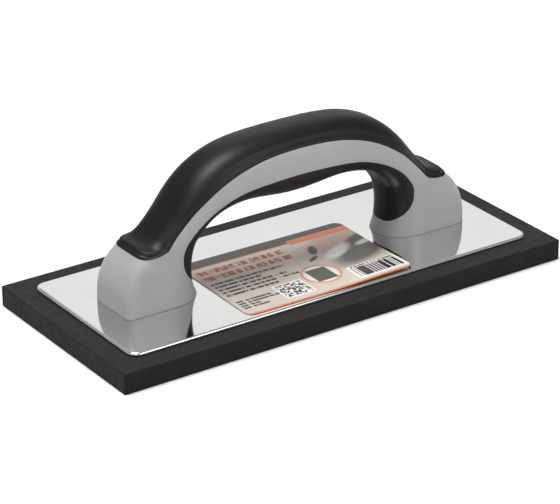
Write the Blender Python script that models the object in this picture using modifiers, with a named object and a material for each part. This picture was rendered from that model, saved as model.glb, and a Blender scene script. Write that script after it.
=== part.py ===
"""Hand float for grout and render: a rubber pad bonded under a polished backing plate, with an arched
two-material handle screwed to the plate from below.

Metres, +Z up. X runs along the float, Y across it, and the pad's sole lies on Z = 0. The handle is the
same at both ends, so its shapes are given for the +X half and carried over to the -X half.
"""

import math
from collections import namedtuple

import bmesh
import bpy
import numpy as np

# Pad and plate
PAD_LENGTH = 0.2286
PAD_WIDTH = 0.1016
PAD_THICKNESS = 0.0096
PAD_EDGE_RADIUS = 0.0005
PLATE_INSET = 0.0099  # strip of pad left showing on every side of the plate
PLATE_THICKNESS = 0.0012
PLATE_CORNER_RADIUS = 0.0050
BOND_THICKNESS = 0.0002
BOND_INSET = 0.0010
FIT_GAP = 0.0003  # clearance between pieces that touch
LAYER_GAP = 0.0001  # clearance between flat layers stacked on each other

# Label stuck on the plate
LABEL_LENGTH = 0.0856
LABEL_WIDTH = 0.0582
LABEL_THICKNESS = 0.0003
LABEL_CORNER_RADIUS = 0.0035
LABEL_CENTRE = (-0.0016, -0.0098)
LABEL_TURN = math.radians(-1.0)

# Feet of the handle
FOOT_OUTER_X = 0.0893
FOOT_INNER_X = 0.0488
FOOT_HALF_WIDTH = 0.0137
POCKET_LENGTH = 0.0110
POCKET_WIDTH = 0.0190
POCKET_DEPTH = 0.0160
POCKET_CORNER_RADIUS = 0.0020

# Handle arch
GRIP_TOP_Z = 0.0760
GRIP_UNDERSIDE_Z = 0.0452
GRIP_HALF_WIDTH = 0.0145
PALM_GRIP_THICKNESS = 0.0030
FINGER_GRIP_THICKNESS = 0.0024
GRIP_GAP = 0.0005  # clearance between the core and a grip, more than FIT_GAP because both are curved
LIP_GAP = 0.0010  # clearance beside the palm grip's lip, whose edge slants across the sections

# Screws, two up into each foot
SCREW_SHANK_RADIUS = 0.0019
SCREW_HEAD_RADIUS = 0.0038
SCREW_HEAD_HEIGHT = 0.0020
SCREW_HEAD_CHAMFER = 0.0009
SCREW_LENGTH = 0.0140  # from under the head to the tip
SCREW_SPACING = 0.0200
SCREW_RECESS_WIDTH = 0.0009
SCREW_RECESS_LENGTH = 0.0040
SCREW_RECESS_DEPTH = 0.0012
SCREW_RECESS_CORNER = 0.0001

# Modelling
ROUND_STEPS = 24
CORNER_STEPS = 6
EDGE_STEPS = 2
CUT_MARGIN = 0.0010  # how far a through cutter stands out on either side
WELD = 1e-6
SHARP_ANGLE = math.radians(40)

PLATE_BOTTOM_Z = PAD_THICKNESS + BOND_THICKNESS + 2 * LAYER_GAP
PLATE_TOP_Z = PLATE_BOTTOM_Z + PLATE_THICKNESS
FOOT_Z = PLATE_TOP_Z + LAYER_GAP
SCREW_HEAD_TOP_Z = PLATE_BOTTOM_Z - FIT_GAP
FOOT_CENTRE_X = (FOOT_OUTER_X + FOOT_INNER_X) / 2
SCREW_XS = [
    side * (FOOT_CENTRE_X + offset)
    for side in (-1, 1)
    for offset in (-SCREW_SPACING / 2, SCREW_SPACING / 2)
]


def clear_scene():
    for obj in list(bpy.data.objects):
        bpy.data.objects.remove(obj, do_unlink=True)


def new_collection(name):
    collection = bpy.data.collections.new(name)
    bpy.context.scene.collection.children.link(collection)
    return collection


def make_material(name, colour, roughness, metallic=0.0):
    material = bpy.data.materials.new(name)
    material.use_nodes = True
    shader = material.node_tree.nodes["Principled BSDF"]
    shader.inputs["Base Color"].default_value = (*colour, 1.0)
    shader.inputs["Roughness"].default_value = roughness
    shader.inputs["Metallic"].default_value = metallic
    return material


def object_from_bmesh(name, bm, collection, material=None):
    mesh = bpy.data.meshes.new(name)
    bmesh.ops.recalc_face_normals(bm, faces=bm.faces)
    bm.to_mesh(mesh)
    bm.free()
    obj = bpy.data.objects.new(name, mesh)
    collection.objects.link(obj)
    if material:
        mesh.materials.append(material)
    return obj


def as_cutter(obj):
    obj.hide_render = True
    obj.display_type = "WIRE"
    return obj


def cut(obj, cutter):
    boolean = obj.modifiers.new(f"cut_{cutter.name}", "BOOLEAN")
    boolean.operation = "DIFFERENCE"
    boolean.solver = "EXACT"
    boolean.object = cutter


def make_slab(name, size, bottom_z, corner_radius, collection, material=None, centre=(0, 0), turn=0):
    """A box with its upright edges rounded."""
    length, width, thickness = size
    bm = bmesh.new()
    bmesh.ops.create_cube(bm, size=1.0)
    bmesh.ops.scale(bm, vec=size, verts=bm.verts)
    upright = [e for e in bm.edges if abs(e.verts[0].co.z - e.verts[1].co.z) > thickness / 2]
    bmesh.ops.bevel(
        bm, geom=upright, offset=corner_radius, affect="EDGES", segments=CORNER_STEPS, profile=0.5
    )
    obj = object_from_bmesh(name, bm, collection, material)
    obj.location = (*centre, bottom_z + thickness / 2)
    obj.rotation_euler.z = turn
    return obj


def make_cylinder(name, radius, height, centre, bottom_z, collection, material=None):
    bm = bmesh.new()
    bmesh.ops.create_cone(
        bm, cap_ends=True, segments=ROUND_STEPS, radius1=radius, radius2=radius, depth=height
    )
    obj = object_from_bmesh(name, bm, collection, material)
    obj.location = (*centre, bottom_z + height / 2)
    return obj


def make_pad(collection, cutters, material):
    bm = bmesh.new()
    bmesh.ops.create_cube(bm, size=1.0)
    bmesh.ops.scale(bm, vec=(PAD_LENGTH, PAD_WIDTH, PAD_THICKNESS), verts=bm.verts)
    bmesh.ops.bevel(
        bm, geom=bm.edges[:], offset=PAD_EDGE_RADIUS, affect="EDGES", segments=EDGE_STEPS, profile=0.5
    )
    pad = object_from_bmesh("float_pad", bm, collection, material)
    pad.location.z = PAD_THICKNESS / 2
    relief_bottom_z = SCREW_HEAD_TOP_Z - SCREW_HEAD_HEIGHT - FIT_GAP
    for index, x in enumerate(SCREW_XS):
        relief = make_cylinder(
            f"head_relief_{index + 1}",
            SCREW_HEAD_RADIUS + FIT_GAP,
            2 * (PAD_THICKNESS - relief_bottom_z),
            (x, 0),
            relief_bottom_z,
            cutters,
        )
        cut(pad, as_cutter(relief))


def make_layers(collection, cutters, materials):
    """The bond layer and the plate, with a hole for each screw."""
    plate_length = PAD_LENGTH - 2 * PLATE_INSET
    plate_width = PAD_WIDTH - 2 * PLATE_INSET
    plate = make_slab(
        "backing_plate",
        (plate_length, plate_width, PLATE_THICKNESS),
        PLATE_BOTTOM_Z,
        PLATE_CORNER_RADIUS,
        collection,
        materials["plate"],
    )
    bond = make_slab(
        "bond_layer",
        (plate_length - 2 * BOND_INSET, plate_width - 2 * BOND_INSET, BOND_THICKNESS),
        PAD_THICKNESS + LAYER_GAP,
        PLATE_CORNER_RADIUS - BOND_INSET,
        collection,
        materials["bond"],
    )
    for index, x in enumerate(SCREW_XS):
        shank_hole = make_cylinder(
            f"plate_hole_{index + 1}",
            SCREW_SHANK_RADIUS + FIT_GAP,
            PLATE_THICKNESS + 2 * CUT_MARGIN,
            (x, 0),
            PLATE_BOTTOM_Z - CUT_MARGIN,
            cutters,
        )
        cut(plate, as_cutter(shank_hole))
        head_hole = make_cylinder(
            f"bond_hole_{index + 1}",
            SCREW_HEAD_RADIUS + FIT_GAP,
            PLATE_BOTTOM_Z - PAD_THICKNESS + 2 * CUT_MARGIN,
            (x, 0),
            PAD_THICKNESS - CUT_MARGIN,
            cutters,
        )
        cut(bond, as_cutter(head_hole))


def make_label(collection, material):
    make_slab(
        "label",
        (LABEL_LENGTH, LABEL_WIDTH, LABEL_THICKNESS),
        PLATE_TOP_Z + LAYER_GAP,
        LABEL_CORNER_RADIUS,
        collection,
        material,
        LABEL_CENTRE,
        LABEL_TURN,
    )


def make_screws(collection, cutters, material):
    """Pan-head screws, head down under the plate and shank up into the foot, with a cross recess."""
    head_bottom_z = SCREW_HEAD_TOP_Z - SCREW_HEAD_HEIGHT
    tip_z = SCREW_HEAD_TOP_Z + SCREW_LENGTH
    for index, x in enumerate(SCREW_XS):
        bm = bmesh.new()
        profile = [
            (0.0, head_bottom_z),
            (SCREW_HEAD_RADIUS - SCREW_HEAD_CHAMFER, head_bottom_z),
            (SCREW_HEAD_RADIUS, head_bottom_z + SCREW_HEAD_CHAMFER),
            (SCREW_HEAD_RADIUS, SCREW_HEAD_TOP_Z),
            (SCREW_SHANK_RADIUS, SCREW_HEAD_TOP_Z),
            (SCREW_SHANK_RADIUS, tip_z - SCREW_SHANK_RADIUS),
            (0.0, tip_z),
        ]
        verts = [bm.verts.new((r, 0, z)) for r, z in profile]
        edges = [bm.edges.new(pair) for pair in zip(verts, verts[1:])]
        bmesh.ops.spin(
            bm,
            geom=verts + edges,
            cent=(0, 0, 0),
            axis=(0, 0, 1),
            angle=2 * math.pi,
            steps=ROUND_STEPS,
            use_merge=True,
        )
        bmesh.ops.remove_doubles(bm, verts=bm.verts, dist=WELD)
        screw = object_from_bmesh(f"handle_screw_{index + 1}", bm, collection, material)
        screw.location.x = x
        for turn, sizes in enumerate(
            ((SCREW_RECESS_LENGTH, SCREW_RECESS_WIDTH), (SCREW_RECESS_WIDTH, SCREW_RECESS_LENGTH))
        ):
            recess = make_slab(
                f"recess_{index + 1}_{turn + 1}",
                (*sizes, 2 * SCREW_RECESS_DEPTH),
                head_bottom_z - SCREW_RECESS_DEPTH,
                SCREW_RECESS_CORNER,
                cutters,
                centre=(x, 0),
            )
            cut(screw, as_cutter(recess))


# The handle is a loft of sections, from the foot up to the crest of the arch. Each section lies between a
# point on the inside of the arch and a point on its outside, both on Y = 0, and is widest between them.
#   inner  the inside point, as shares of FOOT_INNER_X and of the rise from the foot to the underside
#   outer  the outside point, as shares of FOOT_OUTER_X and of the rise from the foot to the top
#   swell  how far the half width has gone from that of the foot, 0, to that of the crest, 1; below 0 where
#          the leg is slimmer than the foot
#   nose, corner  depth of the rounding at the inside end and at the outside end
#   finger, palm  share of the section, from its inside, where the finger grip ends and the palm grip starts,
#                 or would, on a section that they don't reach
Section = namedtuple("Section", "inner outer swell nose corner finger palm")

FOOT_SECTIONS = [
    Section((1.000, 0.000), (1.000, 0.000), 0.00, 0.0170, 0.0050, 0.040, 0.930),
    Section((1.027, 0.080), (1.000, 0.080), 0.00, 0.0165, 0.0050, 0.040, 0.930),
]
LOBE_SECTIONS = [  # the finger grip's lobe runs down the inside of the leg
    Section((1.047, 0.183), (0.998, 0.150), -0.06, 0.0160, 0.0052, 0.060, 0.930),
    Section((1.055, 0.301), (0.989, 0.215), -0.12, 0.0150, 0.0055, 0.160, 0.930),
    Section((1.057, 0.404), (0.976, 0.274), -0.25, 0.0145, 0.0065, 0.235, 0.930),
    Section((1.051, 0.493), (0.956, 0.325), -0.37, 0.0140, 0.0075, 0.280, 0.930),
]
SHOULDER = Section((1.043, 0.566), (0.910, 0.386), -0.62, 0.0135, 0.0085, 0.333, 0.952)
ARCH_SECTIONS = [  # the first three are the lip of the palm grip
    Section((1.039, 0.590), (0.908, 0.414), -0.50, 0.0135, 0.0085, 0.339, 0.754),
    Section((1.035, 0.625), (0.890, 0.434), -0.50, 0.0130, 0.0085, 0.342, 0.684),
    Section((1.029, 0.664), (0.847, 0.436), -0.62, 0.0125, 0.0090, 0.388, 0.702),
    Section((1.023, 0.708), (0.804, 0.464), -0.62, 0.0120, 0.0095, 0.418, 0.758),
    Section((1.006, 0.758), (0.773, 0.507), -0.50, 0.0115, 0.0100, 0.419, 0.763),
    Section((0.982, 0.817), (0.746, 0.549), -0.25, 0.0110, 0.0110, 0.411, 0.755),
    Section((0.943, 0.888), (0.713, 0.601), 0.00, 0.0110, 0.0120, 0.382, 0.735),
    Section((0.887, 0.959), (0.673, 0.675), 0.25, 0.0110, 0.0125, 0.332, 0.706),
    Section((0.807, 1.012), (0.626, 0.756), 0.38, 0.0115, 0.0130, 0.301, 0.657),
    Section((0.711, 1.047), (0.560, 0.841), 0.50, 0.0120, 0.0135, 0.291, 0.645),
    Section((0.584, 1.071), (0.471, 0.917), 0.62, 0.0125, 0.0140, 0.302, 0.660),
    Section((0.439, 1.068), (0.357, 0.972), 0.75, 0.0130, 0.0145, 0.314, 0.688),
    Section((0.285, 1.038), (0.234, 0.992), 0.88, 0.0135, 0.0150, 0.348, 0.739),
    Section((0.143, 1.009), (0.118, 1.000), 1.00, 0.0140, 0.0155, 0.380, 0.761),
    Section((0.000, 1.000), (0.000, 1.000), 1.00, 0.0140, 0.0155, 0.393, 0.770),
]
LIP_STEPS = (0.4, 0.7)  # places of the sections added between the shoulder and the first of the arch
FINGER_POINTS = 6
BAND_POINTS = 8
PALM_POINTS = 9
OUTLINE_STEPS = 48
NOSE_SQUARENESS = 0.95  # 1 rounds a section's end as an ellipse, and less makes it squarer
CORNER_SQUARENESS = 0.78
ROUNDING_LIMIT = 0.95  # share of a section that the rounding of its two ends may take up


def between(first, second, share):
    """A section part of the way from one section to the next."""
    return Section(*((1 - share) * np.array(a) + share * np.array(b) for a, b in zip(first, second)))


LIP_SECTIONS = [between(SHOULDER, ARCH_SECTIONS[0], share) for share in LIP_STEPS]


class SectionOutline:
    """Half of a section's outline, from its inside point round one side to its outside point."""

    def __init__(self, section):
        self.section = section
        inner = np.array(section.inner) * (FOOT_INNER_X, GRIP_UNDERSIDE_Z - FOOT_Z)
        outer = np.array(section.outer) * (FOOT_OUTER_X, GRIP_TOP_Z - FOOT_Z)
        self.start = inner + (0, FOOT_Z)
        self.length = float(np.linalg.norm(outer - inner))
        self.direction = (outer - inner) / self.length
        half_width = FOOT_HALF_WIDTH + section.swell * (GRIP_HALF_WIDTH - FOOT_HALF_WIDTH)
        fit = min(1.0, ROUNDING_LIMIT * self.length / (section.nose + section.corner))
        nose = self.rounded_end(half_width, section.nose, fit, NOSE_SQUARENESS)
        corner = self.rounded_end(half_width, section.corner, fit, CORNER_SQUARENESS)
        self.line = np.concatenate([nose, (corner * (-1, 1) + (self.length, 0))[::-1]])
        steps = np.linalg.norm(np.diff(self.line, axis=0), axis=1)
        self.travel = np.concatenate([[0], np.cumsum(steps)])

    @staticmethod
    def rounded_end(half_width, depth, fit, squareness):
        """Points from the middle of an end out to its side. A shallow rounding leaves the middle flat."""
        turn = np.linspace(0, math.pi / 2, OUTLINE_STEPS)
        rounded = min(half_width, depth)
        along = fit * depth * (1 - np.cos(turn) ** squareness)
        across = half_width - rounded + rounded * np.sin(turn) ** squareness
        return np.column_stack([[0, *along], [0, *across]])

    def travel_to(self, share):
        """How far round the outline the point at a share of the section's length lies."""
        if share in (0, 1):
            return share * self.travel[-1]
        return np.interp(share * self.length, self.line[:, 0], self.travel)

    def stretch(self, start, end, count, inset=0.0, trim=0.0):
        """Points from one share of the length to another, moved inwards by the inset.

        A positive trim starts the stretch later, and a negative one ends it earlier."""
        first = self.travel_to(start) + max(trim, 0.0)
        last = self.travel_to(end) + min(trim, 0.0)
        travel = np.linspace(first, last, count)
        points = self.at(travel)
        reach = self.travel[-1]
        ahead = self.at(np.minimum(travel + FIT_GAP, reach))
        behind = self.at(np.maximum(travel - FIT_GAP, 0))
        tangent = ahead - behind
        tangent[travel < FIT_GAP] = (0, 1)
        tangent[travel > reach - FIT_GAP] = (0, -1)
        tangent /= np.linalg.norm(tangent, axis=1)[:, None]
        return points + inset * np.column_stack([tangent[:, 1], -tangent[:, 0]])

    def at(self, travel):
        return np.column_stack([np.interp(travel, self.travel, self.line[:, i]) for i in (0, 1)])

    def in_space(self, points, lift=0.0):
        """Places (distance along the section, distance across) in the object's own frame."""
        along, across = points[:, :1], points[:, 1]
        xz = self.start + along * self.direction
        return np.column_stack([xz[:, 0], across, xz[:, 1] + lift])


def both_sides(half):
    """A half outline and its mirror image, joined at their two ends on Y = 0."""
    return np.concatenate([half, (half * (1, -1))[-2:0:-1]])


def core_ring(section, finger_recess, palm_recess):
    outline = SectionOutline(section)
    finger_inset = FINGER_GRIP_THICKNESS + GRIP_GAP if finger_recess else 0.0
    palm_inset = PALM_GRIP_THICKNESS + GRIP_GAP if palm_recess else 0.0
    half = np.concatenate(
        [
            outline.stretch(0, section.finger, FINGER_POINTS, finger_inset),
            outline.stretch(section.finger, section.palm, BAND_POINTS),
            outline.stretch(section.palm, 1, PALM_POINTS, palm_inset),
        ]
    )
    return outline.in_space(both_sides(half))


def palm_ring(section, lift=0.0, trim=GRIP_GAP):
    """A crescent over the outside of the section."""
    outline = SectionOutline(section)
    skin = outline.stretch(section.palm, 1, PALM_POINTS, trim=trim)
    seat = outline.stretch(section.palm, 1, PALM_POINTS, PALM_GRIP_THICKNESS, trim)
    over = np.concatenate([skin, (skin * (1, -1))[-2::-1]])
    under = np.concatenate([seat, (seat * (1, -1))[-2::-1]])[::-1]
    return outline.in_space(np.concatenate([over, under]), lift)


def finger_ring(section, lift=0.0):
    """A crescent under the inside of the section."""
    outline = SectionOutline(section)
    skin = outline.stretch(0, section.finger, FINGER_POINTS, trim=-GRIP_GAP)
    seat = outline.stretch(0, section.finger, FINGER_POINTS, FINGER_GRIP_THICKNESS, -GRIP_GAP)
    over = np.concatenate([skin[::-1], (skin * (1, -1))[1:]])
    under = np.concatenate([seat[::-1], (seat * (1, -1))[1:]])[::-1]
    return outline.in_space(np.concatenate([over, under]), lift)


def loft(name, rings, collection, material):
    """Joins rings of equal counts into a skin, closes the first one, and mirrors the half across X = 0."""
    bm = bmesh.new()
    rows = [[bm.verts.new(point) for point in ring] for ring in rings]
    for row, following in zip(rows, rows[1:]):
        for k in range(len(row)):
            n = (k + 1) % len(row)
            bm.faces.new((row[k], row[n], following[n], following[k]))
    bm.faces.new(rows[0][::-1])
    bmesh.ops.remove_doubles(bm, verts=bm.verts, dist=WELD)
    for vert in rows[-1]:
        if vert.is_valid:
            vert.co.x = 0.0
    obj = object_from_bmesh(name, bm, collection, material)
    mirror = obj.modifiers.new("other_end", "MIRROR")
    mirror.merge_threshold = WELD
    obj.data.shade_smooth()
    obj.data.set_sharp_from_angle(angle=SHARP_ANGLE)
    return obj


def make_core(collection, cutters, material):
    """The grey moulding: two feet and the arch, stepped in where the soft grips lie over it."""
    rings = [core_ring(section, False, False) for section in [*FOOT_SECTIONS, LOBE_SECTIONS[0]]]
    rings += [core_ring(section, True, False) for section in [*LOBE_SECTIONS, SHOULDER]]
    rings += [core_ring(section, True, True) for section in [SHOULDER, *LIP_SECTIONS, *ARCH_SECTIONS]]
    core = loft("handle_core", rings, collection, material)
    for side, name in ((-1, "left"), (1, "right")):
        pocket = make_slab(
            f"{name}_foot_pocket",
            (POCKET_LENGTH, POCKET_WIDTH, 2 * POCKET_DEPTH),
            FOOT_Z - POCKET_DEPTH,
            POCKET_CORNER_RADIUS,
            cutters,
            centre=(side * FOOT_CENTRE_X, 0),
        )
        cut(core, as_cutter(pocket))
    bore_top = SCREW_HEAD_TOP_Z + SCREW_LENGTH + FIT_GAP
    for index, x in enumerate(SCREW_XS):
        pilot = make_cylinder(
            f"pilot_hole_{index + 1}",
            SCREW_SHANK_RADIUS + FIT_GAP,
            2 * (bore_top - FOOT_Z),
            (x, 0),
            2 * FOOT_Z - bore_top,
            cutters,
        )
        cut(core, as_cutter(pilot))


def make_grips(collection, materials):
    palm_rings = [palm_ring(SHOULDER, GRIP_GAP, LIP_GAP)]
    palm_rings += [palm_ring(section, trim=LIP_GAP) for section in [*LIP_SECTIONS, ARCH_SECTIONS[0]]]
    palm_rings += [palm_ring(section) for section in ARCH_SECTIONS[1:]]
    loft("palm_grip", palm_rings, collection, materials["palm"])
    finger_rings = [finger_ring(LOBE_SECTIONS[0], GRIP_GAP)]
    finger_sections = [*LOBE_SECTIONS[1:], SHOULDER, *ARCH_SECTIONS]
    finger_rings += [finger_ring(section) for section in finger_sections]
    loft("finger_grip", finger_rings, collection, materials["finger"])


def main():
    clear_scene()
    parts = new_collection("hand_float")
    cutters = new_collection("cutters")
    materials = {
        "pad": make_material("pad_rubber", (0.045, 0.045, 0.045), 0.75),
        "plate": make_material("polished_aluminium", (0.90, 0.90, 0.90), 0.12, 1.0),
        "bond": make_material("bond_adhesive", (0.25, 0.22, 0.18), 0.5),
        "label": make_material("label_paper", (0.62, 0.52, 0.45), 0.35),
        "core": make_material("grey_plastic", (0.37, 0.37, 0.37), 0.45),
        "palm": make_material("palm_rubber", (0.018, 0.018, 0.018), 0.4),
        "finger": make_material("finger_rubber", (0.018, 0.018, 0.018), 0.4),
        "screw": make_material("zinc_steel", (0.60, 0.60, 0.58), 0.3, 1.0),
    }
    make_pad(parts, cutters, materials["pad"])
    make_layers(parts, cutters, materials)
    make_label(parts, materials["label"])
    make_screws(parts, cutters, materials["screw"])
    make_core(parts, cutters, materials["core"])
    make_grips(parts, materials)


main()
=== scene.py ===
# %% [markdown]
# # A hand float with a two-material handle
# A hand float is a flat pad for spreading and smoothing mortar, with a handle to push it by. This one has a
# rubber pad, a polished plate bonded onto it, and an arched grey handle with soft black grips. The packed
# part already has every piece in its place, so it is loaded first and each new piece is built round it.

import math

import bmesh
import bpy
import numpy as np
from mathutils import Matrix, Vector


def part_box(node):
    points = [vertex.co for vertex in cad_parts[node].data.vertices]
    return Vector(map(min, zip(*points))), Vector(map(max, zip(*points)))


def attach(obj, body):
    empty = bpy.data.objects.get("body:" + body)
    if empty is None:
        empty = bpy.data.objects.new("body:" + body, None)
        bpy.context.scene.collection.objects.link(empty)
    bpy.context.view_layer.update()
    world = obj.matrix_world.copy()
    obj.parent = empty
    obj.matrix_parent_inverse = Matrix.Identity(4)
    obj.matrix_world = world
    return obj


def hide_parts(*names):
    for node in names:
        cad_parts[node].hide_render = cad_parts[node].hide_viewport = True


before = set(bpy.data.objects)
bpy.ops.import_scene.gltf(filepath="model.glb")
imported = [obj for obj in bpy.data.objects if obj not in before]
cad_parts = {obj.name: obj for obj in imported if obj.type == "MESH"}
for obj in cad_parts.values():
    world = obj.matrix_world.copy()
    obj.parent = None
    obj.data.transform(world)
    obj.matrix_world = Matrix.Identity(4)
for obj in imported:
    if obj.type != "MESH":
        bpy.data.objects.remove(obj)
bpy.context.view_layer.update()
scene = bpy.context.scene
MM = 0.001

# %% [markdown]
# ## The studio
# A product looks most like itself through a long lens from a few steps away, because parallel edges then stay
# nearly parallel. The camera is placed by its direction from the point that it looks at: an angle round the
# object and an angle above the floor. A small roll evens out a tripod that isn't quite level.

# %% Camera
LOOKS_AT = Vector((15.87, 27.10, 0.0)) * MM
DISTANCE = 1236.2 * MM
ROUND_ANGLE = math.radians(-34.507)
HEIGHT_ANGLE = math.radians(24.971)
ROLL = math.radians(-0.183)
FOCAL_LENGTH = 175.75  # in millimetres, as Blender wants it, and the sensor's width too
SENSOR_WIDTH = 36.0
CLIP_START = 0.1

back = Vector((
    math.sin(ROUND_ANGLE) * math.cos(HEIGHT_ANGLE),
    -math.cos(ROUND_ANGLE) * math.cos(HEIGHT_ANGLE),
    math.sin(HEIGHT_ANGLE),
))
right = Vector((0, 0, 1)).cross(back).normalized()
up = back.cross(right)
camera_x = math.cos(ROLL) * right + math.sin(ROLL) * up
camera_y = -math.sin(ROLL) * right + math.cos(ROLL) * up
camera_data = bpy.data.cameras.new("studio_camera")
camera_data.lens = FOCAL_LENGTH
camera_data.sensor_width = SENSOR_WIDTH
camera_data.sensor_fit = "HORIZONTAL"
camera_data.clip_start = CLIP_START
camera = bpy.data.objects.new("studio_camera", camera_data)
camera.matrix_world = Matrix.Translation(LOOKS_AT + DISTANCE * back) @ Matrix(
    (camera_x, camera_y, back)
).transposed().to_4x4()
scene.collection.objects.link(camera)
scene.camera = camera
print("camera at", [round(c, 3) for c in camera.matrix_world.translation])

# %% [markdown]
# Polished metal shows whatever stands round it, so the room matters as much as the lamps. The world is an
# even grey, and five round soft lamps are added to it. Wide ones overhead and in front light the whole float.
# Two small ones on the left draw the highlights along the grips. The widest stands beyond the far side, where
# the plate mirrors it.

# %% World and lamps
WORLD_STRENGTH = 0.34
LAMPS = {  # place in metres, width in metres, watts
    "overhead_lamp": ((-0.3, 0.1, 1.6), 1.0, 27),
    "left_lamp": ((-1.3, -0.3, 1.0), 0.5, 1.2),
    "front_lamp": ((0.5, -1.5, 0.9), 1.0, 9),
    "key_lamp": ((-0.9, -1.05, 1.05), 0.25, 3.0),
    "backdrop_lamp": ((1.03, 1.49, 0.84), 1.5, 3.2),
}

world = bpy.data.worlds.new("studio")
world.use_nodes = True
background = world.node_tree.nodes["Background"]
background.inputs["Color"].default_value = (1.0, 1.0, 1.0, 1.0)
background.inputs["Strength"].default_value = WORLD_STRENGTH
scene.world = world
scene.view_settings.view_transform = "Standard"
for name, (place, width, watts) in LAMPS.items():
    lamp = bpy.data.lights.new(name, "AREA")
    lamp.shape = "DISK"
    lamp.size = width
    lamp.energy = watts
    holder = bpy.data.objects.new(name, lamp)
    holder.location = place
    holder.rotation_mode = "QUATERNION"
    holder.rotation_quaternion = (-Vector(place)).to_track_quat("-Z", "Y")
    scene.collection.objects.link(holder)
print("lamps:", ", ".join(LAMPS))

# %% [markdown]
# The float stands on a wide sheet of white paper. The sheet lies a tenth of a millimetre below the pad,
# because two faces in one plane would fight over which of them is seen.

# %% Floor
FLOOR_SIZE = 4.0
FLOOR_DROP = 0.1 * MM
PAPER_WHITE = (0.9, 0.9, 0.9, 1.0)
PAPER_ROUGHNESS = 0.9


def new_object(name, bm):
    """Turns a bmesh into an object of the scene."""
    mesh = bpy.data.meshes.new(name)
    bm.to_mesh(mesh)
    bm.free()
    made = bpy.data.objects.new(name, mesh)
    scene.collection.objects.link(made)
    return made


bm = bmesh.new()
bmesh.ops.create_grid(bm, x_segments=1, y_segments=1, size=FLOOR_SIZE)
bmesh.ops.translate(bm, vec=(0, 0, -FLOOR_DROP), verts=bm.verts)
floor = new_object("floor", bm)
paper = bpy.data.materials.new("studio_paper")
paper.use_nodes = True
paper.node_tree.nodes["Principled BSDF"].inputs["Base Color"].default_value = PAPER_WHITE
paper.node_tree.nodes["Principled BSDF"].inputs["Roughness"].default_value = PAPER_ROUGHNESS
floor.data.materials.append(paper)
print("floor:", [round(size, 1) for size in floor.dimensions], "m")

# %% [markdown]
# ## Finishes
# Each finish starts as a plain Principled shader whose fixed values are set on its own sockets. Noise on
# Object coordinates then adds what makes it real: a little unevenness in colour, a roughness that isn't the
# same everywhere, and a fine grain that bends the light. The coordinates are in metres, so a noise whose
# features are to be 1 mm across gets a scale of 1000.

# %% Helpers for finishes
MIX_COLOURS = (6, 7)  # a Mix node lists the sockets of every type, and these two are its colours
MIX_RESULT = 2
GRAIN_DETAIL = 2.0


class Finish:
    """A Principled material, with short calls for the noise that is layered on it."""

    def __init__(self, name, colour, roughness, **fixed):
        self.material = bpy.data.materials.new(name)
        self.material.use_nodes = True
        self.tree = self.material.node_tree
        self.shader = self.tree.nodes["Principled BSDF"]
        self.set("Base Color", (*colour, 1.0))
        self.set("Roughness", roughness)
        for socket, value in fixed.items():
            self.set(socket.replace("_", " "), value)
        self.place = self.add("ShaderNodeTexCoord").outputs["Object"]

    def set(self, socket, value):
        self.shader.inputs[socket].default_value = value

    def add(self, kind, **settings):
        node = self.tree.nodes.new(kind)
        for name, value in settings.items():
            setattr(node, name, value)
        return node

    def link(self, output, socket):
        self.tree.links.new(output, socket)

    def feed(self, socket, value):
        """Gives a socket an output of another node, a number, or a colour."""
        if isinstance(value, bpy.types.NodeSocket):
            self.link(value, socket)
        else:
            socket.default_value = (*value, 1.0) if isinstance(value, tuple) else value

    def noise(self, feature, detail=3.0):
        """Noise with features of this size in metres."""
        noise = self.add("ShaderNodeTexNoise")
        noise.inputs["Scale"].default_value = 1 / feature
        noise.inputs["Detail"].default_value = detail
        self.link(self.place, noise.inputs["Vector"])
        return noise.outputs["Fac"]

    def mix(self, share, *colours):
        """Two colours mixed by a share from 0 to 1."""
        mix = self.add("ShaderNodeMix", data_type="RGBA")
        self.link(share, mix.inputs["Factor"])
        for number, colour in zip(MIX_COLOURS, colours):
            self.feed(mix.inputs[number], colour)
        return mix.outputs[MIX_RESULT]

    def math(self, operation, *values):
        node = self.add("ShaderNodeMath", operation=operation)
        for socket, value in zip(node.inputs, values):
            self.feed(socket, value)
        return node.outputs[0]

    def spread(self, value, low, high, start=0.3, end=0.7):
        """A value from start to end, where most noise lies, spread out from low to high."""
        node = self.add("ShaderNodeMapRange")
        for name, number in (("From Min", start), ("From Max", end), ("To Min", low), ("To Max", high)):
            node.inputs[name].default_value = number
        self.link(value, node.inputs["Value"])
        return node.outputs["Result"]

    def mottle(self, first, second, feature):
        share = self.spread(self.noise(feature), 0.0, 1.0)
        self.link(self.mix(share, first, second), self.shader.inputs["Base Color"])

    def uneven(self, low, high, feature, **options):
        self.link(self.spread(self.noise(feature, **options), low, high), self.shader.inputs["Roughness"])

    def grain(self, feature, height):
        bump = self.add("ShaderNodeBump")
        bump.inputs["Distance"].default_value = height
        self.link(self.noise(feature, GRAIN_DETAIL), bump.inputs["Height"])
        self.link(bump.outputs["Normal"], self.shader.inputs["Normal"])


# %% [markdown]
# The pad is moulded rubber: almost black, matt, and finely pitted. Its sides are painted darker than its top
# as painted shade, so the colour is chosen by which way the surface faces: the Z of its normal is 1 where it
# faces up.

# %% Pad rubber
PAD_SKIN = (0.015, 0.0145, 0.014)
PAD_SKIN_WORN = (0.019, 0.018, 0.0165)
# painted shade: the colour of the sides, darker than the top, and the same with blotches
PAD_SIDE_PAINTED_SHADE = (0.005, 0.0047, 0.0043)
PAD_SIDE_PAINTED_SHADE_DUSTY = (0.0075, 0.007, 0.006)
SIDE_UNTIL = 0.2  # below this the normal's Z counts as a side
SKIN_FROM = 0.9  # and above this as the top

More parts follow.
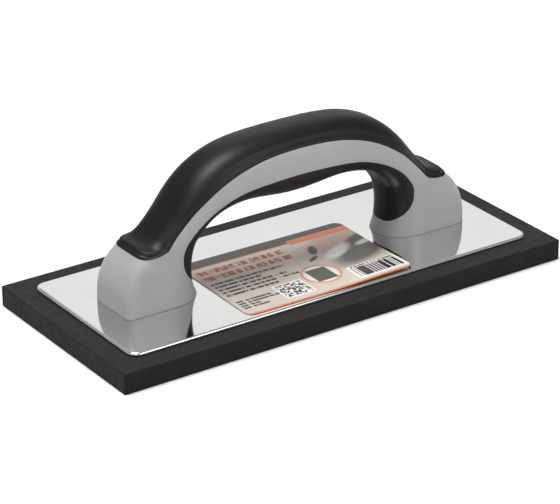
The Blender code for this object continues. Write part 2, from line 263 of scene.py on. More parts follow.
pad_rubber = Finish("pad_rubber_finish", PAD_SKIN, 0.62, Specular_IOR_Level=0.15)
facing = pad_rubber.add("ShaderNodeSeparateXYZ")
pad_rubber.link(pad_rubber.add("ShaderNodeNewGeometry").outputs["Normal"], facing.inputs["Vector"])
upwards = pad_rubber.spread(facing.outputs["Z"], 0.0, 1.0, SIDE_UNTIL, SKIN_FROM)
blotches = pad_rubber.spread(pad_rubber.noise(9 * MM), 0.0, 1.0)
skin = pad_rubber.mix(blotches, PAD_SKIN, PAD_SKIN_WORN)
# the sides get the darker colours: painted shade, with the same random blotches over it
sides = pad_rubber.mix(blotches, PAD_SIDE_PAINTED_SHADE, PAD_SIDE_PAINTED_SHADE_DUSTY)
pad_rubber.link(pad_rubber.mix(upwards, sides, skin), pad_rubber.shader.inputs["Base Color"])
pad_rubber.uneven(0.55, 0.70, feature=3 * MM)
pad_rubber.grain(feature=0.35 * MM, height=0.03 * MM)
print("pad rubber:", len(pad_rubber.tree.nodes), "nodes")

# %% [markdown]
# The plate is polished aluminium, so its colour is light, its metallic value is 1 and its roughness is close
# to 0. Handling leaves faint smears, which are patches of slightly higher roughness. The adhesive under it
# and the zinc of the screws are hardly seen, but they are finished in the same way.

# %% Plate, bond and screw finishes
ALUMINIUM = (0.80, 0.80, 0.79)
polished = Finish("polished_plate_finish", ALUMINIUM, 0.05, Metallic=1.0)
polished.mottle(ALUMINIUM, (0.84, 0.84, 0.83), feature=25 * MM)
polished.uneven(0.035, 0.085, feature=14 * MM, detail=4.0)
polished.grain(feature=30 * MM, height=0.02 * MM)

glue = Finish("bond_finish", (0.25, 0.22, 0.18), 0.5)
glue.mottle((0.22, 0.19, 0.15), (0.28, 0.25, 0.21), feature=4 * MM)
glue.grain(feature=1 * MM, height=0.02 * MM)

zinc = Finish("screw_finish", (0.60, 0.60, 0.57), 0.3, Metallic=1.0)
zinc.mottle((0.55, 0.55, 0.53), (0.66, 0.65, 0.60), feature=1.5 * MM)
zinc.uneven(0.22, 0.38, feature=0.8 * MM)
zinc.grain(feature=0.3 * MM, height=0.01 * MM)
print("finishes:", ", ".join(finish.material.name for finish in (polished, glue, zinc)))

# %% [markdown]
# The handle is grey moulded plastic with a satin texture from the mould. The grips are a soft black rubber,
# smoother than the pad and with a dull sheen that follows their curves.

# %% Handle finishes
grey_plastic = Finish("grey_plastic_finish", (0.31, 0.31, 0.31), 0.38, Specular_IOR_Level=0.5)
grey_plastic.mottle((0.305, 0.305, 0.305), (0.325, 0.325, 0.323), feature=12 * MM)
grey_plastic.uneven(0.34, 0.42, feature=2 * MM)
grey_plastic.grain(feature=0.25 * MM, height=0.012 * MM)

grip_rubber = Finish("grip_rubber_finish", (0.002, 0.002, 0.002), 0.42, Specular_IOR_Level=0.3)
grip_rubber.mottle((0.0015, 0.0015, 0.0015), (0.003, 0.0028, 0.0028), feature=8 * MM)
grip_rubber.uneven(0.40, 0.48, feature=3 * MM)
grip_rubber.grain(feature=0.2 * MM, height=0.008 * MM)
print("finishes:", grey_plastic.material.name, "and", grip_rubber.material.name)

# %% [markdown]
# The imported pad, bond and screws already have the right shapes. Only their materials change.

# %% Dress the CAD nodes that stay
SCREWS = [f"handle_screw_{n}" for n in (1, 2, 3, 4)]
DRESSED = {"float_pad": pad_rubber, "bond_layer": glue, **dict.fromkeys(SCREWS, zinc)}
for node_name, finish in DRESSED.items():
    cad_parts[node_name].data.materials.clear()
    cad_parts[node_name].data.materials.append(finish.material)
print("dressed:", ", ".join(DRESSED))

# %% [markdown]
# ## The plate
# A real plate has a polished, slightly rounded rim that catches the light as a thin bright line. The packed
# plate has square edges, so a copy of it is merged, its flat triangles are dissolved into whole faces, and
# the edges round its top face are bevelled. Weighted normals keep the shading of the large face flat right
# up to the rounding, where smooth shading alone would bend every reflection in it.

# %% Helpers for pieces
SHARP_ANGLE = math.radians(40)


def finish_piece(name, bm, finish, slot, *nodes):
    """Turns a bmesh into a piece that rides with the body and stands for these CAD nodes."""
    piece = new_object(name, bm)
    piece.data.materials.append(finish.material)
    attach(piece, "root")
    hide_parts(*nodes)
    print(f"{name}: {len(piece.data.vertices)} vertices, {len(piece.data.polygons)} faces")
    return piece


def shade_smooth(piece):
    piece.data.shade_smooth()
    piece.data.set_sharp_from_angle(angle=SHARP_ANGLE)


# %% Polished plate
RIM_ROUNDING = 0.9 * MM
RIM_SHARE = 0.9  # an edge further out than this share of the plate's half size is part of its rim
FLAT_ANGLE = math.radians(1)
MERGE = 0.001 * MM
NEAR = 0.01 * MM

plate_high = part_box("backing_plate")[1]
bm = bmesh.new()
bm.from_mesh(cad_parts["backing_plate"].data)
bmesh.ops.remove_doubles(bm, verts=bm.verts, dist=MERGE)
bmesh.ops.dissolve_limit(bm, angle_limit=FLAT_ANGLE, verts=bm.verts, edges=bm.edges)
rim = [
    edge for edge in bm.edges
    if min(v.co.z for v in edge.verts) > plate_high.z - NEAR
    and max(abs(edge.verts[0].co[axis]) / plate_high[axis] for axis in (0, 1)) > RIM_SHARE
]
bmesh.ops.bevel(bm, geom=rim, offset=RIM_ROUNDING, affect="EDGES", segments=5, profile=0.5, material=-1)
plate = finish_piece("backing_plate_polished", bm, polished, "polished_plate", "backing_plate")
shade_smooth(plate)
plate.modifiers.new("flat_top", "WEIGHTED_NORMAL").keep_sharp = True

# %% [markdown]
# ## The handle's form
# The handle is drawn as a row of sections, like the frames of a boat. The first ones lie flat across a foot,
# and they fan out until the last stands upright at the crest of the arch. Each runs from a point on the
# inside of the arch to a point on its outside, in the plane Y = 0, and is widest between them. A section has
# nine numbers: the X and Z of its inner point and of its outer point, its half width, how deep its ends are
# rounded inside and outside, and how far along it the finger grip ends and the palm grip starts.

# %% The sections
# inner x and z, outer x and z, half width, inner and outer depth, finger grip's end, palm grip's start
SHOULDER_ROW = (50.9, 30.5, 81.3, 36.3, 13.20, 13.5, 8.5, 0.333, 0.952)
FOOT_ROWS = np.array([
    (48.8, 11.3, 89.3, 11.3, 13.70, 17.0, 3.0, 0.040, 0.93),
    (50.1, 14.0, 89.3, 16.5, 13.70, 16.5, 3.2, 0.040, 0.93),
    (51.1, 17.5, 89.1, 21.0, 13.65, 16.0, 3.8, 0.060, 0.93),
    (51.5, 21.5, 88.3, 25.2, 13.60, 15.0, 4.8, 0.160, 0.93),
    (51.6, 25.0, 87.2, 29.0, 13.50, 14.5, 6.5, 0.235, 0.93),
    (51.3, 28.0, 85.4, 32.3, 13.40, 14.0, 7.5, 0.280, 0.93),
    SHOULDER_ROW,
])
ARCH_ROWS = np.array([
    SHOULDER_ROW,
    (50.7, 31.3, 81.1, 38.1, 13.30, 13.5, 8.5, 0.339, 0.754),
    (50.5, 32.5, 79.5, 39.4, 13.30, 13.0, 8.5, 0.342, 0.684),
    (50.2, 33.8, 75.6, 39.5, 13.20, 12.5, 9.0, 0.388, 0.702),
    (49.9, 35.3, 71.8, 41.3, 13.20, 12.0, 9.5, 0.418, 0.758),
    (49.1, 37.0, 69.0, 44.1, 13.30, 11.5, 10.0, 0.419, 0.763),
    (47.9, 39.0, 66.6, 46.8, 13.50, 11.0, 11.0, 0.411, 0.755),
    (46.0, 41.4, 63.7, 50.2, 13.70, 11.0, 12.0, 0.382, 0.735),
    (43.3, 43.8, 60.1, 55.0, 13.90, 11.0, 12.5, 0.332, 0.706),
    (39.4, 45.6, 55.9, 60.2, 14.00, 11.5, 13.0, 0.301, 0.657),
    (34.7, 46.8, 50.0, 65.7, 14.10, 12.0, 13.5, 0.291, 0.645),
    (28.5, 47.6, 42.1, 70.6, 14.20, 12.5, 14.0, 0.302, 0.660),
    (21.4, 47.5, 31.9, 74.2, 14.30, 13.0, 14.5, 0.314, 0.688),
    (13.9, 46.5, 20.9, 75.5, 14.40, 13.5, 15.0, 0.348, 0.739),
    (7.0, 45.5, 10.5, 76.0, 14.50, 14.0, 15.5, 0.380, 0.761),
    (0.0, 45.2, 0.0, 76.0, 14.50, 14.0, 15.5, 0.393, 0.770),
])
SHOULDER = len(FOOT_ROWS) - 1  # a place on the handle is a row's number, from 0 at the foot to CREST
CREST = SHOULDER + len(ARCH_ROWS) - 1
LOBE_FOOT = 2.0  # the place where the finger grip's lobe begins
print("sections from foot to crest:", CREST + 1)

# %% [markdown]
# The shape between two sections comes from a B-spline, a curve that passes smoothly close to each given
# value. On the outside it is broken at the shoulder, where the palm grip's lip stands out over the foot. On
# the inside it runs on in one sweep, because nothing steps there.

# %% The curve through the sections
INNER = [0, 1, 4, 5, 7]  # the numbers of a section that belong to its inside, or to its whole width
MIRRORED = np.array([-1, 1, -1, 1, 1, 1, 1, 1, 1])  # the other end of the handle has its X turned round


def with_ends(rows, closed_at_crest):
    """Adds a row before the first and after the last, so that the spline reaches them."""
    last = rows[-2] * MIRRORED if closed_at_crest else 2 * rows[-1] - rows[-2]
    return np.concatenate([[2 * rows[0] - rows[1]], rows, [last]])


def b_spline(rows, place):
    start = min(int(place), len(rows) - 4)
    t = place - start
    weights = np.array([(1 - t) ** 3, 3 * t**3 - 6 * t**2 + 4, -3 * t**3 + 3 * t**2 + 3 * t + 1, t**3]) / 6
    return weights @ rows[start : start + 4]


FOOT_SPLINE = with_ends(FOOT_ROWS, False)
ARCH_SPLINE = with_ends(ARCH_ROWS, True)
WHOLE_SPLINE = with_ends(np.concatenate([FOOT_ROWS, ARCH_ROWS[1:]]), True)


def section_at(place, above):
    """The section at a place. At the shoulder it is the foot's, or the arch's if above is true."""
    section = b_spline(ARCH_SPLINE, place - SHOULDER) if above else b_spline(FOOT_SPLINE, place)
    section[INNER] = b_spline(WHOLE_SPLINE, place)[INNER]
    return section


print("crest of the handle:", round(section_at(CREST, True)[3], 2), "mm high")

# %% [markdown]
# A section's outline is half of a rounded shape, drawn from the inner point to the outer point. Each end is
# rounded by a quarter of a superellipse, a little squarer than a true ellipse, and where the rounding is
# shallower than the half width, the rest of that end is flat. Walking along the outline by distance gives
# evenly spaced points, and each can be set inwards by the thickness of the grip that covers it there.

# %% The outline of a section
NOSE_SQUARENESS = 0.95  # 1 is a true ellipse, and less is squarer
CORNER_SQUARENESS = 0.78
OUTLINE_STEPS = 60
ROUNDING_LIMIT = 0.97  # share of a section that the rounding of its two ends may take up
LOOK_ASIDE = 0.2  # how far to each side a point looks to find the outline's direction


class Outline:
    """The outline of one section, in millimetres."""

    def __init__(self, place, above):
        section = section_at(place, above)
        inner_x, inner_z, outer_x, outer_z, half_width, nose, corner, self.finger, self.palm = section
        self.start = np.array([inner_x, inner_z])
        span = np.array([outer_x, outer_z]) - self.start
        self.length = float(np.linalg.norm(span))
        self.direction = span / self.length
        turn = np.linspace(0, math.pi / 2, OUTLINE_STEPS)
        fit = min(1.0, ROUNDING_LIMIT * self.length / (nose + corner))
        ends = []
        for reach, squareness in ((nose, NOSE_SQUARENESS), (corner, CORNER_SQUARENESS)):
            depth = 1 - np.cos(turn) ** squareness
            swell = np.sin(turn) ** squareness
            rounded = min(half_width, reach)
            ends.append((fit * reach * depth, half_width - rounded + rounded * swell))
        along = np.concatenate([[0], ends[0][0], (self.length - ends[1][0])[::-1], [self.length]])
        across = np.concatenate([[0], ends[0][1], ends[1][1][::-1], [0]])
        self.line = np.column_stack([along, across])
        steps = np.linalg.norm(np.diff(self.line, axis=0), axis=1)
        self.travel = np.concatenate([[0], np.cumsum(steps)])

    def travel_to(self, share):
        """How far round the outline a point is that lies at this share of the section."""
        return float(np.interp(share * self.length, self.line[1:-1, 0], self.travel[1:-1]))

    def at(self, travel):
        return np.column_stack([np.interp(travel, self.travel, self.line[:, axis]) for axis in (0, 1)])

    def points(self, travel, inset=0.0):
        """Points in space at these distances round the outline."""
        reach = self.travel[-1]
        ahead, behind = np.minimum(travel + LOOK_ASIDE, reach), np.maximum(travel - LOOK_ASIDE, 0)
        tangent = self.at(ahead) - self.at(behind)
        tangent[travel < LOOK_ASIDE] = (0, 1)
        tangent[travel > reach - LOOK_ASIDE] = (0, -1)
        tangent /= np.linalg.norm(tangent, axis=1)[:, None]
        at = self.at(travel)
        at += np.reshape(inset, (-1, 1)) * np.column_stack([tangent[:, 1], -tangent[:, 0]])
        xz = self.start + at[:, :1] * self.direction
        return np.column_stack([xz[:, 0], at[:, 1], xz[:, 1]])


print("half way round the crest:", round(Outline(CREST, True).travel[-1], 1), "mm")

# %% [markdown]
# Where the finger grip's lobe begins on the leg, its edge turns round in a U. Near the first row, the width
# is drawn in along a quarter circle to make that turn.

# %% The edge of the finger grip
LOBE_TURN = 5.0


def finger_travel(outline, place):
    """How far round from its middle the finger grip reaches at a place."""
    full = outline.travel_to(outline.finger)
    risen = float(np.linalg.norm(outline.start - Outline(LOBE_FOOT, False).start))
    if place >= SHOULDER or risen > LOBE_TURN:
        return full
    return full - LOBE_TURN + math.sqrt(max(LOBE_TURN**2 - (LOBE_TURN - risen) ** 2, 0.0))


print("finger grip's half width at the crest:", round(finger_travel(Outline(CREST, True), CREST), 1), "mm")

# %% [markdown]
# Core and grips are all made the same way. A line of points is found at each place, a flat grid gets one row
# of vertices on each line, and the grid is then mirrored to the other end of the handle.

# %% Helpers for a grid over the handle
WELD = 0.002 * MM


def both_sides(half):
    """Adds the other half of a line, which has its Y turned round."""
    return np.concatenate([half, (half * (1, -1, 1))[-2::-1]])


def grid_piece(lines):
    rows, columns = len(lines), len(lines[0])
    bm = bmesh.new()
    bmesh.ops.create_grid(bm, x_segments=columns - 1, y_segments=rows - 1, size=0.5)
    for vert in bm.verts:
        column = round((vert.co.x + 0.5) * (columns - 1))
        row = round((vert.co.y + 0.5) * (rows - 1))
        vert.co = Vector(lines[row][column]) * MM
    bmesh.ops.remove_doubles(bm, verts=bm.verts, dist=WELD)
    bmesh.ops.mirror(bm, geom=bm.verts[:] + bm.edges[:] + bm.faces[:], axis="X", merge_dist=WELD)
    bmesh.ops.remove_doubles(bm, verts=bm.verts, dist=WELD)
    print("grid:", rows, "rows of", columns)
    return bm


# %% [markdown]
# ## The grey core
# The core shows as the two feet and as a band along each side. Under each grip it is set in, so that the
# grip has a seat. Two rows at the same place, one outside and one set in, make the ledge of that seat.

# %% Grey core
PALM_THICKNESS = 3.0
FINGER_THICKNESS = 2.4
JOINT_GAP = 0.35  # left between the core and a grip
FINGER_COLUMNS = 14
BAND_COLUMNS = 14
PALM_COLUMNS = 20
STRIP_BELOW_LOBE = 1.0  # the finger columns close up to this width below the lobe
LOWER_ROWS, LOBE_ROWS, GRIP_ROWS = 9, 41, 76  # lines below the lobe, beside it, and under both grips


def core_line(place, above, finger_set_in, palm_set_in):
    outline = Outline(place, above)
    finger_end = finger_travel(outline, place) if place >= LOBE_FOOT else STRIP_BELOW_LOBE
    palm_start = outline.travel_to(outline.palm)
    finger_inset = FINGER_THICKNESS + JOINT_GAP if finger_set_in else 0.0
    palm_inset = PALM_THICKNESS + JOINT_GAP if palm_set_in else 0.0
    return both_sides(np.concatenate([
        outline.points(np.linspace(0, finger_end, FINGER_COLUMNS), finger_inset),
        outline.points(np.linspace(finger_end, palm_start, BAND_COLUMNS)),
        outline.points(np.linspace(palm_start, outline.travel[-1], PALM_COLUMNS), palm_inset),
    ]))


below_lobe = [core_line(place, False, False, False) for place in np.linspace(0, LOBE_FOOT, LOWER_ROWS)]
beside_lobe = [
    core_line(place, False, True, False) for place in np.linspace(LOBE_FOOT, SHOULDER, LOBE_ROWS)
]
under_grips = [core_line(place, True, True, True) for place in np.linspace(SHOULDER, CREST, GRIP_ROWS)]
core_bm = grid_piece(below_lobe + beside_lobe + under_grips)
bmesh.ops.holes_fill(core_bm, edges=[e for e in core_bm.edges if e.is_boundary], sides=0)
bmesh.ops.recalc_face_normals(core_bm, faces=core_bm.faces)
print("core without its holes:", len(core_bm.faces), "faces")

# %% [markdown]
# Each foot is screwed down from below, so it has two screw holes and, between them, the pocket that keeps a
# thick moulding from sinking as it cools. The cutters are one cylinder on each packed screw and one block in
# each foot. They reach as far below the foot as above it, so that no two faces lie in one plane.

# %% Cutters for the pockets and screw holes
SHANK_RADIUS = 1.9 * MM
SCREW_CLEARANCE = 0.3 * MM
HOLE_STEPS = 32
POCKET_LENGTH = 11.0 * MM
POCKET_WIDTH = 19.0 * MM
POCKET_DEPTH = 16.0 * MM

foot_z = FOOT_ROWS[0][1] * MM
hole_radius = SHANK_RADIUS + SCREW_CLEARANCE
screw_boxes = [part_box(screw) for screw in SCREWS]
cutter_bm = bmesh.new()
for low, high in screw_boxes:
    middle = Vector(((low.x + high.x) / 2, 0, foot_z))
    bmesh.ops.create_cone(
        cutter_bm, cap_ends=True, segments=HOLE_STEPS, radius1=hole_radius, radius2=hole_radius,
        depth=2 * (high.z - foot_z + SCREW_CLEARANCE), matrix=Matrix.Translation(middle),
    )
for first, second in (screw_boxes[:2], screw_boxes[2:]):
    middle = Vector(((first[0].x + second[1].x) / 2, 0, foot_z))
    size = Vector((POCKET_LENGTH, POCKET_WIDTH, 2 * POCKET_DEPTH))
    bmesh.ops.create_cube(cutter_bm, size=1.0, matrix=Matrix.LocRotScale(middle, None, size))
print("cutters:", len(cutter_bm.verts), "vertices")

# %% [markdown]
# A Boolean modifier takes the cutters away from the core. Its result is read back into a bmesh, so that the
# two helper objects can be removed and the core is a plain mesh again.

# %% Cut the core
solid_core = new_object("solid_core", core_bm)
cutters = new_object("core_cutters", cutter_bm)
pockets = solid_core.modifiers.new("pockets", "BOOLEAN")
pockets.operation = "DIFFERENCE"
pockets.solver = "EXACT"
pockets.object = cutters
drilled = solid_core.evaluated_get(bpy.context.evaluated_depsgraph_get())
bm = bmesh.new()
bm.from_mesh(drilled.to_mesh())
drilled.to_mesh_clear()
for helper in (solid_core, cutters):
    bpy.data.objects.remove(helper, do_unlink=True)
core = finish_piece("handle_core_moulded", bm, grey_plastic, "grey_plastic", "handle_core")
shade_smooth(core)

# %% [markdown]
# ## The grips
# A grip's surface isn't a plain skin over the sections. The palm grip has a raised rim along its edge, with a
# shallow groove inside it that stops the hand from sliding off. Over each foot it ends in a lip, which is
# dished: there the groove opens out until it takes up the whole width. So the surface is set inwards by a
# depth that depends on the distance from the edge, and on how far up from the lip the place is.

# %% The palm grip's rim, groove and dish
RIM_WIDTH = 1.3
RIM_SLOPE = 0.8  # the rim falls off over this much on either side of its width
GROOVE_WIDTH = 3.2
GROOVE_SLOPE = 1.6
GROOVE_DEPTH = 0.8
ARCH_GROOVE_SHARE = 0.35  # share of its full depth that the groove has above the lip
DISH_SHARE = 0.7  # share of the groove's depth that the middle of the lip has
DISH_FADES_AT = 6.0  # distance up from the lip's edge at which the dish begins to run out
DISH_ENDS_AT = 16.0
CLIMB_STEPS = 200

lip_places = np.linspace(SHOULDER, CREST, CLIMB_STEPS)
crest_line = np.array([b_spline(ARCH_SPLINE, place - SHOULDER)[2:4] for place in lip_places])
lip_climb = np.concatenate([[0], np.cumsum(np.linalg.norm(np.diff(crest_line, axis=0), axis=1))])


def smooth_step(value, start, end):
    """0 up to the start and 1 from the end on, with a soft S between them."""
    t = np.clip((value - start) / (end - start), 0, 1)
    return t * t * (3 - 2 * t)


def palm_depth(from_edge, climbed):
    """How deep the palm grip's surface is set in, at these distances from its edge."""
    on_lip = 1 - smooth_step(climbed, DISH_FADES_AT, DISH_ENDS_AT)
    inside_rim = smooth_step(from_edge, RIM_WIDTH - RIM_SLOPE, RIM_WIDTH + RIM_SLOPE)
    in_groove = 1 - smooth_step(from_edge, GROOVE_WIDTH - RIM_SLOPE, GROOVE_WIDTH + GROOVE_SLOPE)
    deepest = GROOVE_DEPTH * (ARCH_GROOVE_SHARE + (1 - ARCH_GROOVE_SHARE) * on_lip)
    return deepest * inside_rim * np.maximum(in_groove, DISH_SHARE * on_lip)


print("palm grip from lip to crest:", round(lip_climb[-1], 1), "mm")

# %% [markdown]
# The lines of the palm grip run from its edge over the top, with more points near the edge, where the rim and
# the groove need them. The finger grip is plain, so its lines have even steps.

# %% Lines of the two grips
EDGE_COLUMNS = 13
TOP_COLUMNS = 17
FINGER_GRIP_COLUMNS = 18


def palm_line(place):
    outline = Outline(place, True)
    start, end = outline.travel_to(outline.palm) + JOINT_GAP, outline.travel[-1]
    near_edge = np.linspace(start, start + 2 * GROOVE_WIDTH, EDGE_COLUMNS)
    travel = np.concatenate([near_edge, np.linspace(near_edge[-1], end, TOP_COLUMNS)[1:]])
    climbed = np.interp(place, lip_places, lip_climb)
    depth = palm_depth(np.minimum(travel - start, climbed), climbed)
    return both_sides(outline.points(travel, depth))


def finger_line(place):
    outline = Outline(place, place >= SHOULDER)
    travel = np.linspace(finger_travel(outline, place) - JOINT_GAP, 0, FINGER_GRIP_COLUMNS)
    return both_sides(outline.points(travel))


print("points in a line:", len(palm_line(CREST)), "palm,", len(finger_line(CREST)), "finger")

# %% [markdown]
# Each grip is a sheet that gets its thickness inwards from a Solidify modifier, so the sheet has to face
# outwards first. Recalculating normals can leave an open sheet facing either way, so the face nearest the
# crest is looked at, and the sheet is turned over if that one faces the wrong way. A small bevel then rounds
# the edges, which leaves the thin dark line seen round a moulded grip.

# %% Palm grip and finger grip
LIP_GAP = 0.2  # how far up from the shoulder the palm grip starts, as a share of a row
LOBE_GAP = 0.05  # and the same for the finger grip above the lobe's foot
EDGE_ROUNDING = 0.4 * MM
EDGE_ANGLE = math.radians(50)
UP, DOWN = Vector((0, 0, 1)), Vector((0, 0, -1))


def grip(name, node, lines, outwards, thickness):
    """A sheet of grip rubber over these lines, which faces outwards at the crest and is thickened inwards."""
    bm = grid_piece(list(lines))
    bmesh.ops.recalc_face_normals(bm, faces=bm.faces)
    crest_face = min(bm.faces, key=lambda face: face.calc_center_median().xy.length)
    if crest_face.normal.dot(outwards) < 0:
        bmesh.ops.reverse_faces(bm, faces=bm.faces)
    piece = finish_piece(name, bm, grip_rubber, "grip_rubber", node)
    wall = piece.modifiers.new("wall", "SOLIDIFY")
    wall.thickness = thickness * MM
    wall.offset = -1
    wall.use_even_offset = True
    rounding = piece.modifiers.new("rounded_edges", "BEVEL")
    rounding.width = EDGE_ROUNDING
    rounding.segments = 3
    rounding.limit_method = "ANGLE"
    rounding.angle_limit = EDGE_ANGLE
    shade_smooth(piece)


def closer_first(start, middle, first_count, count):
    """Places from the start to the crest, which lie closer together up to the middle one."""
    return [*np.linspace(start, middle, first_count), *np.linspace(middle, CREST, count)[1:]]


palm_places = closer_first(SHOULDER + LIP_GAP, SHOULDER + 5, 36, 46)
finger_places = closer_first(LOBE_FOOT + LOBE_GAP, LOBE_FOOT + 2, 25, 70)
grip("palm_grip_soft", "palm_grip", map(palm_line, palm_places), UP, PALM_THICKNESS)
grip("finger_grip_soft", "finger_grip", map(finger_line, finger_places), DOWN, FINGER_THICKNESS)

# %% [markdown]
# ## The label
# The label is a printed sheet stuck on the plate. It starts as a thin block in millimetres with rounded
# corners, which is cut across in many places so that it can bend.

# %% Label sheet
LABEL_LENGTH = 85.6
LABEL_WIDTH = 58.2
LABEL_THICKNESS = 0.25
LABEL_CORNER = 4.0
CUT_SPACING = 1.5
LAST_CUT = 1.0  # no cut is closer than this to the far edge

label_bm = bmesh.new()
bmesh.ops.create_cube(label_bm, size=1.0)
bmesh.ops.scale(label_bm, vec=(LABEL_LENGTH, LABEL_WIDTH, LABEL_THICKNESS), verts=label_bm.verts)
upright = [e for e in label_bm.edges if abs(e.verts[0].co.z - e.verts[1].co.z) > LABEL_THICKNESS / 2]
bmesh.ops.bevel(
    label_bm, geom=upright, offset=LABEL_CORNER, affect="EDGES", segments=8, profile=0.5, material=-1
)
for axis, reach in ((0, LABEL_LENGTH / 2), (1, LABEL_WIDTH / 2)):
    for cut in np.arange(-reach + CUT_SPACING, reach - LAST_CUT, CUT_SPACING):
        across = Vector((0, 0, 0))
        across[axis] = 1.0
        whole = label_bm.verts[:] + label_bm.edges[:] + label_bm.faces[:]
        bmesh.ops.bisect_plane(label_bm, geom=whole, plane_co=across * float(cut), plane_no=across)
print("label sheet:", len(label_bm.faces), "faces")

# %% [markdown]
# One front corner has come unstuck and curls up a little. Before the sheet is bent and turned into its place,
# each point's position is kept as a UV map in millimetres, so that the print follows the sheet.

# %% Curl the label and lay it on the plate
LABEL_TURN = math.radians(-1.0)
CURL_HEIGHT = 1.1
CURL_START_X, CURL_END_X = -0.1 * LABEL_LENGTH, 0.55 * LABEL_LENGTH
CURL_START_Y, CURL_END_Y = -0.05 * LABEL_WIDTH, 0.55 * LABEL_WIDTH

print_place = label_bm.loops.layers.uv.new("print")
for face in label_bm.faces:
    for loop in face.loops:
        loop[print_place].uv = loop.vert.co.xy
for vert in label_bm.verts:
    along = smooth_step(vert.co.x, CURL_START_X, CURL_END_X)
    forward = smooth_step(-vert.co.y, CURL_START_Y, CURL_END_Y)
    vert.co.z += CURL_HEIGHT * along * forward
label_low, label_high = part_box("label")
label_middle = (label_low + label_high) / 2
label_rise = label_low.z + LABEL_THICKNESS * MM / 2
bmesh.ops.rotate(label_bm, matrix=Matrix.Rotation(LABEL_TURN, 3, "Z"), verts=label_bm.verts)
bmesh.ops.scale(label_bm, vec=(MM, MM, MM), verts=label_bm.verts)
bmesh.ops.translate(label_bm, vec=(label_middle.x, label_middle.y, label_rise), verts=label_bm.verts)
print("curled corner:", round((max(v.co.z for v in label_bm.verts) - label_low.z) / MM, 2), "mm up")

# %% [markdown]
# The print is layered like ink: a warm ground first, then bands, blocks and rows over it. Each block is a
# mask made from the sheet's own UV map, and the rows of small marks are blocks broken up by noise, which
# read as print from a distance without being any real words.

# %% Helpers for print
GROUND_LEFT, GROUND_RIGHT = (0.50, 0.43, 0.39), (0.60, 0.53, 0.44)
GROUND_FROM, GROUND_TO = -40, 25
TALL = 50.0  # much taller than a row, so that one cell spans the row that it is in
STROKE_SHARE = 0.8


class Print(Finish):
    """A finish with masks in the sheet's own millimetres."""

    def __init__(self, name, colour, roughness, **fixed):
        super().__init__(name, colour, roughness, **fixed)
        self.sheet = self.add("ShaderNodeUVMap", uv_map="print").outputs["UV"]
        split = self.add("ShaderNodeSeparateXYZ")
        self.link(self.sheet, split.inputs["Vector"])
        self.along, self.across = split.outputs["X"], split.outputs["Y"]
        rightwards = self.spread(self.along, 0, 1, GROUND_FROM, GROUND_TO)
        self.ink = self.mix(rightwards, GROUND_LEFT, GROUND_RIGHT)

    def block(self, left, right, front, rear):
        """1 inside a rectangle given by its four sides, and 0 outside it."""
        wide = self.math("COMPARE", self.along, (left + right) / 2, (right - left) / 2)
        deep = self.math("COMPARE", self.across, (front + rear) / 2, (rear - front) / 2)
        return self.math("MULTIPLY", wide, deep)

    def oval(self, middle, size, softness, turn=0.0):
        """1 inside an oval, fading to 0 over its softness."""
        placed = self.add("ShaderNodeMapping", vector_type="TEXTURE")
        placed.inputs["Location"].default_value = (*middle, 0)
        placed.inputs["Rotation"].default_value = (0, 0, math.radians(turn))
        placed.inputs["Scale"].default_value = (*size, 1)
        self.link(self.sheet, placed.inputs["Vector"])
        reach = self.add("ShaderNodeVectorMath", operation="LENGTH")
        self.link(placed.outputs["Vector"], reach.inputs[0])
        return self.spread(reach.outputs["Value"], 1.0, 0.0, 1 - softness, 1 + softness)

    def specks(self, cell_length, cell_width, share):
        """1 in a random share of the cells of a grid."""
        snap = self.add("ShaderNodeVectorMath", operation="SNAP")
        snap.inputs[1].default_value = (cell_length, cell_width, 1)
        self.link(self.sheet, snap.inputs[0])
        dice = self.add("ShaderNodeTexWhiteNoise", noise_dimensions="2D")
        self.link(snap.outputs["Vector"], dice.inputs["Vector"])
        return self.math("LESS_THAN", dice.outputs["Value"], share)

    def lay(self, mask, colour):
        self.ink = self.mix(mask, self.ink, colour)

    def lay_both(self, mask, other, colour):
        """Lays a colour where two masks overlap."""
        self.lay(self.math("MULTIPLY", mask, other), colour)

    def lay_rows(self, rows, thickness, cell, share, colour, strokes=None):
        """Rows of marks. Their strokes, if given, are broken up again by smaller cells of this size."""
        marks = self.specks(cell, TALL, share)
        if strokes:
            marks = self.math("MULTIPLY", marks, self.specks(*strokes, STROKE_SHARE))
        for left, right, middle in rows:
            row = self.block(left, right, middle - thickness / 2, middle + thickness / 2)
            self.lay_both(row, marks, colour)


# %% [markdown]
# The ground is clouded, and on its right soft shapes fade into it. They are ovals in rose, ash and paper
# tones, each given by its middle, its size, its turn in degrees and how soft its edge is.

# %% The label's ground and shapes
PAPER = (0.74, 0.72, 0.68)
ROSE = (0.52, 0.36, 0.30)
ASH = (0.10, 0.098, 0.090)
SOOT = (0.045, 0.042, 0.040)
CLOUD = (0.36, 0.31, 0.28)

print_finish = Print("label_finish", (0.6, 0.5, 0.45), 0.34, Specular_IOR_Level=0.35)
clouds = print_finish.spread(print_finish.noise(11 * MM, detail=4.0), 0.0, 0.4, 0.35, 0.75)
print_finish.lay(clouds, CLOUD)
for middle, size, turn, softness, colour in (
    ((29, 13), (19, 10), 25, 0.35, ROSE),
    ((33, -3), (17, 7.5), 24, 0.35, ASH),
    ((38, 9), (9, 3.2), 30, 0.25, ASH),
    ((25, 3.5), (9, 3.4), 30, 0.3, PAPER),
    ((40, 5.5), (4.5, 1.8), 15, 0.3, PAPER),
    ((16, 10), (2.1, 4.6), -25, 0.15, SOOT),
    ((11.5, 2.5), (3.6, 1.2), 30, 0.2, SOOT),
):
    print_finish.lay(print_finish.oval(middle, size, softness, turn), colour)
print("label after its shapes:", len(print_finish.tree.nodes), "nodes")

# %% [markdown]
# A dark band runs along the rear edge with an orange line below it. Two rows of heavy marks stand for a
# headline, and fine rows under them for the text. Each row has a left end, a right end and a middle height.

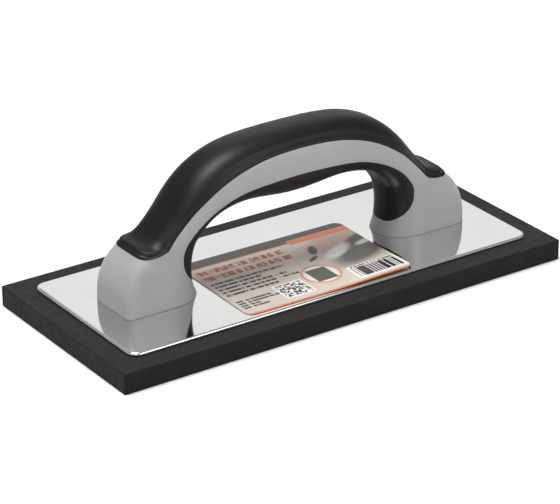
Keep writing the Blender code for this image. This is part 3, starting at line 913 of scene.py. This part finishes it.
# %% The label's bands and rows
CHARCOAL = (0.060, 0.054, 0.050)
ORANGE = (0.55, 0.17, 0.08)
BRICK = (0.30, 0.07, 0.035)
INK = (0.030, 0.024, 0.021)
HEADLINE = [(-41, 4, 16.4), (-41, 5, 10.2)]
TEXT = [(-40.5, -3, 4.3), (-40.5, -17, 1.2), (-40.5, -6, -2.0), (-40.5, -1, -5.1), (-40.5, -14, -8.3)]
SMALL_TEXT = [(-41, -23, -15.9), (-41, -14, -18.1), (-41, -31, -20.3), (-41, -28, -22.5)]

print_finish.lay(print_finish.block(-50, 50, 22.2, 30), CHARCOAL)
print_finish.lay(print_finish.block(-50, 12, 21.4, 22.2), ORANGE)
print_finish.lay(print_finish.block(11, 50, 19.8, 24.4), ORANGE)
print_finish.lay_rows(HEADLINE, 4.0, 0.7, 0.82, BRICK, strokes=(0.55, 1.35))
print_finish.lay_rows(TEXT, 1.7, 0.45, 0.8, INK)
print_finish.lay_rows(SMALL_TEXT, 1.3, 0.4, 0.8, INK)
print("rows of marks:", len(HEADLINE + TEXT + SMALL_TEXT))

# %% [markdown]
# The front half holds a square of random cells, a round seal with a slate block in it, and a row of random
# bars with small marks over them. None of them can be scanned. An orange line closes the front edge.

# %% The label's square, seal and bars
CELL_BLACK = (0.03, 0.03, 0.025)
BAR_BLACK = (0.035, 0.034, 0.03)
SLATE = (0.075, 0.078, 0.062)
SEAL = (5.6, -12.2)

print_finish.lay(print_finish.block(-20.0, -5.0, -24.6, -11.2), PAPER)
print_finish.lay_both(
    print_finish.block(-19.2, -5.8, -23.8, -12.0), print_finish.specks(0.7, 0.7, 0.55), CELL_BLACK
)
print_finish.lay(print_finish.oval(SEAL, (9.2, 9.2), 0.03), ORANGE)
print_finish.lay(print_finish.oval(SEAL, (8.0, 8.0), 0.1), PAPER)
print_finish.lay(print_finish.block(0.4, 10.6, -18.6, -6.4), SLATE)
print_finish.lay(print_finish.block(17.0, 42.6, -26.4, -13.6), PAPER)
print_finish.lay_both(
    print_finish.block(18.0, 41.6, -25.0, -15.8), print_finish.specks(0.5, 60.0, 0.55), BAR_BLACK
)
print_finish.lay_rows([(19, 41, -14.7)], 1.0, 0.4, 0.75, INK)
print_finish.lay(print_finish.block(-50, 50, -30, -28.0), ORANGE)
print("print:", len(print_finish.tree.nodes), "nodes")

# %% [markdown]
# All the ink is one colour output by now. It goes to the shader, and the paper gets its slight waviness.

# %% Printed label
print_finish.link(print_finish.ink, print_finish.shader.inputs["Base Color"])
print_finish.uneven(0.30, 0.40, feature=6 * MM)
print_finish.grain(feature=8 * MM, height=0.03 * MM)
label = finish_piece("label_printed", label_bm, print_finish, "label_paper", "label")
shade_smooth(label)
